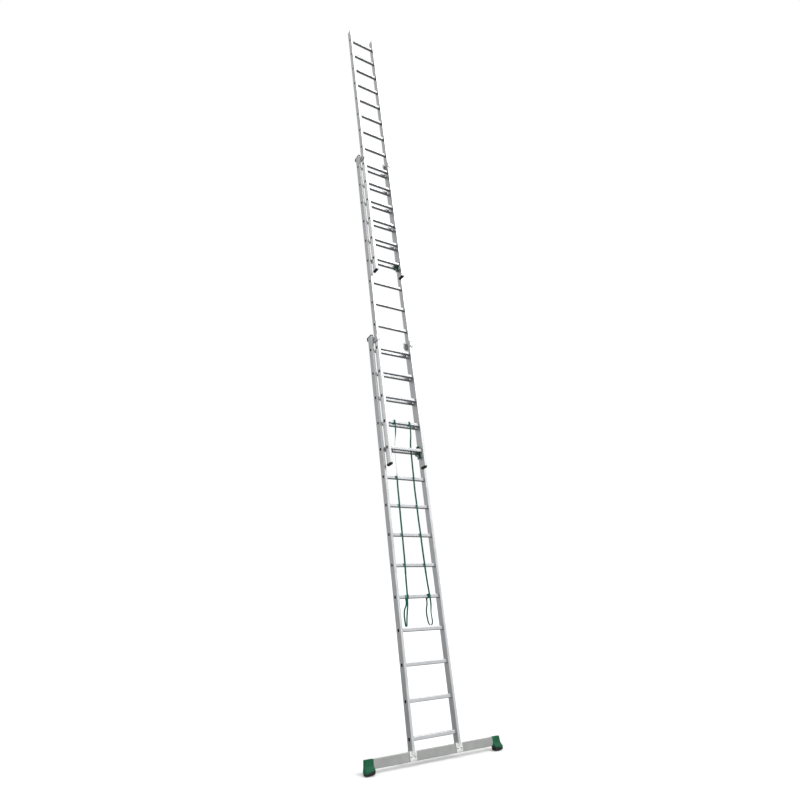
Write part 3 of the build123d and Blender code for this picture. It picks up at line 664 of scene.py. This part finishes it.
for side_name in SIDES:
    soften(f"foot_{side_name}", 0.0022, 3)
    soften(f"bar_saddle_{side_name}", 0.0009)
    soften(f"base_guide_{side_name}", 0.0009)
    soften(f"base_guide_pad_{side_name}", 0.0008)
    soften(f"mid_guide_{side_name}", 0.0009)
    soften(f"mid_guide_pad_{side_name}", 0.0008)
    soften(f"base_top_cap_{side_name}", 0.0012)
    soften(f"mid_top_cap_{side_name}", 0.0012)
    soften(f"top_end_plug_{side_name}", 0.001)
    for name in ("mid", "top"):
        soften(f"{name}_foot_cap_{side_name}", 0.0015)
        soften(f"{name}_hook_plate_{side_name}", 0.0008)
        soften(f"{name}_rung_hook_{side_name}", 0.0016, 3)
        soften(f"{name}_latch_{side_name}", 0.001)


# ---------------------------------------------------------------- turned and hexagonal hardware
def solids(node):
    """Each solid of a node as a list of its points in the upright frame."""
    bm = node_mesh(node)
    seen, found = set(), []
    for start in bm.verts:
        if start in seen:
            continue
        seen.add(start)
        pending, points = [start], []
        while pending:
            vert = pending.pop()
            points.append(vert.co.copy())
            for edge in vert.link_edges:
                other = edge.other_vert(vert)
                if other not in seen:
                    seen.add(other)
                    pending.append(other)
        found.append(points)
    bm.free()
    return found


def add_turned(bm, foot, axis, profile, sides=24, flats=None):
    """A turned shape: profile gives (radius, distance along the axis) from one end to the other.
    With flats, a radius is half the distance across that many flats."""
    axis = axis.normalized()
    first = axis.orthogonal().normalized()
    second = axis.cross(first)
    count = flats or sides
    swell = 1 / math.cos(math.pi / flats) if flats else 1
    rings = []
    for radius, along in profile:
        middle = foot + axis * along
        if radius < 1e-7:
            rings.append([bm.verts.new(middle)])
            continue
        ring = []
        for k in range(count):
            turn = 2 * math.pi * k / count
            ring.append(
                bm.verts.new(middle + (first * math.cos(turn) + second * math.sin(turn)) * radius * swell)
            )
        rings.append(ring)
    for low, high in zip(rings, rings[1:]):
        for k in range(count):
            n = (k + 1) % count
            corners = [low[k % len(low)], low[n % len(low)], high[n % len(high)], high[k % len(high)]]
            unique = []
            for corner in corners:
                if corner not in unique:
                    unique.append(corner)
            if len(unique) > 2:
                bm.faces.new(unique)
    for ring in (rings[0], rings[-1]):
        if len(ring) > 2:
            bm.faces.new(ring)


def ends_along(points, axis):
    """The middles and radii of a shaft's two ends along X or Y, as (place, radius) pairs."""
    low, high = min(p[axis] for p in points), max(p[axis] for p in points)
    found = []
    for end in (low, high):
        near = [p for p in points if abs(p[axis] - end) < 0.0004]
        middle = sum(points, Vector()) / len(points)
        middle[axis] = end
        radius = max((p - middle).length for p in near)
        found.append((middle, radius))
    return found


def make_rivets(node):
    """Blind rivets: a domed head, the hollow left by its mandrel and the shank behind it."""
    bm = bmesh.new()
    for points in solids(node):
        (low, low_radius), (high, high_radius) = ends_along(points, 0)
        head, tip = (low, high) if low_radius > high_radius else (high, low)
        axis = tip - head
        add_turned(
            bm,
            head,
            axis,
            (
                (0, 0.0011),
                (0.0009, 0.0010),
                (0.0012, 0.0001),
                (0.0022, 0.0002),
                (0.0034, 0.0006),
                (0.0043, 0.0012),
                (0.0045, 0.0016),
                (0.0025, 0.0016),
                (0.0025, axis.length - 0.0004),
                (0.0021, axis.length),
            ),
        )
    material, slot = finish_of(node)
    finish_piece(new_object(f"{node}_turned", bm), material, body_of(node), slot, node)


for name in ("spigot_rivets", "base_guide_rivets", "mid_guide_rivets", "mid_hook_rivets", "top_hook_rivets"):
    make_rivets(name)


def make_bolts():
    """Flanged hexagon bolts, chamfered, with a rolled thread towards the tip."""
    bm = bmesh.new()
    for points in solids("saddle_bolts"):
        (low, low_radius), (high, high_radius) = ends_along(points, 1)
        head, tip = (low, high) if low_radius > high_radius else (high, low)
        axis = tip - head
        add_turned(bm, head, axis, ((0.0052, 0), (0.0065, 0.0009), (0.0065, 0.0044)), flats=6)
        add_turned(bm, head, axis, ((0.0072, 0.0043), (0.0081, 0.0049), (0.0081, 0.0055), (0.004, 0.0055)))
        shank = [(0.004, 0.0054), (0.004, axis.length - 0.015)]
        for k in range(17):
            shank.append((0.0040 if k % 2 else 0.0036, axis.length - 0.0148 + 0.0008 * k))
        shank.append((0.0031, axis.length))
        add_turned(bm, head, axis, shank, 20)
    finish_piece(new_object("saddle_bolts_turned", bm), ZINC, "base_section", "zinc_steel", "saddle_bolts")


def make_nuts():
    """Hexagon nuts, chamfered at both faces."""
    bm = bmesh.new()
    for points in solids("saddle_nuts"):
        (low, _), (high, _) = ends_along(points, 1)
        axis = high - low
        tall = axis.length
        add_turned(
            bm,
            low,
            axis,
            (
                (0.0042, 0),
                (0.0058, 0),
                (0.0065, 0.0008),
                (0.0065, tall - 0.0008),
                (0.0058, tall),
                (0.0042, tall),
            ),
            flats=6,
        )
    finish_piece(new_object("saddle_nuts_cut", bm), ZINC, "base_section", "zinc_steel", "saddle_nuts")


make_bolts()
make_nuts()


# ---------------------------------------------------------------- swaged rims round the rung ends
RIM_PROUD = 0.0004
# Half the rim's side and how far it stands out from the stile, from its inner edge to its outer.
RIM_PROFILE = ((0.0138, -0.0006), (0.0144, RIM_PROUD), (0.0168, RIM_PROUD), (0.0182, 0.00005))


def rounded_square(half, radius, steps=5):
    outline = []
    for corner in range(4):
        sign_y, sign_z = ((1, 1), (-1, 1), (-1, -1), (1, -1))[corner]
        for k in range(steps + 1):
            turn = math.radians(90 * corner + 90 * k / steps)
            outline.append(
                (
                    sign_y * (half - radius) + radius * math.cos(turn),
                    sign_z * (half - radius) + radius * math.sin(turn),
                )
            )
    return outline


def make_rims(section):
    """The metal folded over round each end of a rung, on the stile's outer face."""
    bm = bmesh.new()
    low, high = span(f"{section}_rungs")
    front = (low.y + high.y) / 2
    lowest = low.z + (high.z - low.z - (RUNG_COUNT - 1) * PITCH) / 2
    for rung in range(RUNG_COUNT):
        height = lowest + PITCH * rung
        for sign in SIDES.values():
            loops = []
            for half, proud in RIM_PROFILE:
                x = sign * (HALF_WIDTH[section] + proud)
                outline = rounded_square(half, 0.0045)
                loops.append([bm.verts.new((x, front + y, height + z)) for y, z in outline])
            for inner, outer in zip(loops, loops[1:]):
                for k in range(len(inner)):
                    n = (k + 1) % len(inner)
                    bm.faces.new((inner[k], inner[n], outer[n], outer[k]))
    finish_piece(new_object(f"{section}_rung_rims", bm), RIM_METAL, f"{section}_section", "rung_aluminium")


for name in SECTIONS:
    make_rims(name)


# ---------------------------------------------------------------- strap loops
LOOP_OUT = 0.018  # from the rung's middle to the middle of the strap that lies round it
TAIL_LAYERS = (0.0219, 0.0195)
TAIL_DROP = 0.036
STITCH = ((0, 0), (0.0003, 0.0003), (0.00035, 0.0012), (0.0003, 0.0021), (0, 0.0024))
UPPER_LOOPS_HEIGHT = FIRST_RUNG + (MID_RAISED + 1) * PITCH  # the middle section's second rung
LOWER_LOOPS_HEIGHT = FIRST_RUNG + 4 * PITCH  # the base's fifth rung


def make_loops(node, stitching, front, height, places, sign):
    """Flat loops round a rung, each with its end sewn back on the strap that hangs below."""
    bands, stitches = bmesh.new(), bmesh.new()
    outer, inner = TAIL_LAYERS
    route = (
        (sign * outer, -TAIL_DROP),
        (sign * outer, -0.018),
        (sign * outer, 0.0),
        (sign * 0.0205, 0.0215),
        (sign * 0.006, LOOP_OUT + 0.001),
        (-sign * 0.006, LOOP_OUT + 0.001),
        (-sign * 0.0195, 0.0195),
        (-sign * LOOP_OUT, 0.006),
        (-sign * LOOP_OUT, -0.006),
        (-sign * 0.0195, -0.0195),
        (-sign * 0.006, -LOOP_OUT - 0.001),
        (sign * 0.006, -LOOP_OUT - 0.001),
        (sign * inner, -0.0195),
        (sign * inner, -0.028),
        (sign * inner, -TAIL_DROP),
    )
    for x in places:
        line = spline_points([(x, front + y, height + z) for y, z in route])
        add_band(bands, line, ((0, 0), (1, 0)), step=0.0015)
        face = front + sign * (outer + STRAP_THICKNESS / 2)
        for across in (-0.005, 0.005):
            for k in range(8):
                foot = Vector((x + across, face, height - 0.0065 - 0.0034 * k))
                add_turned(
                    stitches,
                    foot,
                    Vector((0, 0, -1)),
                    STITCH,
                    8,
                )
        for drop in (0.0065, 0.0195, 0.0325):
            for k in range(3):
                foot = Vector((x - 0.0046 + 0.0033 * k, face, height - drop))
                add_turned(
                    stitches,
                    foot,
                    Vector((1, 0, 0)),
                    STITCH,
                    8,
                )
    body = body_of(node)
    finish_piece(new_object(f"{node}_webbing", bands, smooth=50), WEBBING, body, "green_strap", node)
    finish_piece(new_object(stitching, stitches), THREAD, body, "green_strap")


make_loops(
    "upper_strap_loops",
    "upper_stitching",
    -LAYER,
    UPPER_LOOPS_HEIGHT,
    (LEFT_ROUTE[0][0], RIGHT_ROUTE[0][0]),
    -1,
)
make_loops(
    "lower_strap_loops",
    "lower_stitching",
    0.0,
    LOWER_LOOPS_HEIGHT,
    (LEFT_ROUTE[-1][0], RIGHT_ROUTE[-1][0]),
    1,
)


# ---------------------------------------------------------------- straps take their places
for side_name, (strap, line) in STRAPS.items():
    finish_piece(strap, WEBBING, "mid_section", "green_strap", f"strap_{side_name}")
    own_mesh(strap)


# ---------------------------------------------------------------- floor and light
def make_floor():
    bm = bmesh.new()
    bmesh.ops.create_circle(bm, cap_ends=True, radius=60, segments=96)
    mesh = bpy.data.meshes.new("floor")
    bm.to_mesh(mesh)
    bm.free()
    floor = bpy.data.objects.new("floor", mesh)
    bpy.context.scene.collection.objects.link(floor)
    floor.location = (0, 0, cad_bounds[0][2] - 0.0002)
    material, _, shader = new_material("floor_paint", (0.93, 0.93, 0.93), 0.0, 0.9)
    shader.inputs["Specular IOR Level"].default_value = 0.0
    mesh.materials.append(material)
    floor.visible_glossy = False


def make_world():
    """A white room whose light is strongest from the front right and weakest from the left."""
    world = bpy.data.worlds.new("studio")
    bpy.context.scene.world = world
    world.use_nodes = True
    tree = world.node_tree
    tree.nodes.clear()
    where = tree.nodes.new("ShaderNodeTexCoord")
    toward = tree.nodes.new("ShaderNodeVectorMath")
    toward.operation = "DOT_PRODUCT"
    toward.inputs[1].default_value = Vector((0.62, -0.62, 0.48))
    tree.links.new(where.outputs["Generated"], toward.inputs[0])
    split = tree.nodes.new("ShaderNodeSeparateXYZ")
    tree.links.new(where.outputs["Generated"], split.inputs[0])
    side = remap(tree, toward.outputs["Value"], -0.45, 0.75, 0.66, 1.12)
    above = remap(tree, split.outputs["Z"], -0.45, -0.02, 0.0, 1.0)
    below = combine(tree, "MULTIPLY", combine(tree, "SUBTRACT", 1.0, above), 0.16)
    studio = combine(tree, "ADD", combine(tree, "MULTIPLY", side, above), below)
    lit = tree.nodes.new("ShaderNodeBackground")
    tree.links.new(studio, lit.inputs["Strength"])
    seen = tree.nodes.new("ShaderNodeBackground")
    seen.inputs["Strength"].default_value = 1.0
    rays = tree.nodes.new("ShaderNodeLightPath")
    chosen = tree.nodes.new("ShaderNodeMixShader")
    tree.links.new(rays.outputs["Is Camera Ray"], chosen.inputs[0])
    tree.links.new(lit.outputs[0], chosen.inputs[1])
    tree.links.new(seen.outputs[0], chosen.inputs[2])
    out = tree.nodes.new("ShaderNodeOutputWorld")
    tree.links.new(chosen.outputs[0], out.inputs["Surface"])
    seen.inputs["Color"].default_value = (1, 1, 1, 1)
    lit.inputs["Color"].default_value = (1, 1, 1, 1)


def make_sun(name, strength, angle, rotation):
    light = bpy.data.lights.new(name, "SUN")
    light.energy = strength
    light.angle = math.radians(angle)
    obj = bpy.data.objects.new(name, light)
    bpy.context.scene.collection.objects.link(obj)
    obj.rotation_euler = [math.radians(a) for a in rotation]


make_floor()
make_world()
make_sun("key", 1.3, 30, (38, 0, 40))
bpy.context.scene.view_settings.view_transform = "Standard"
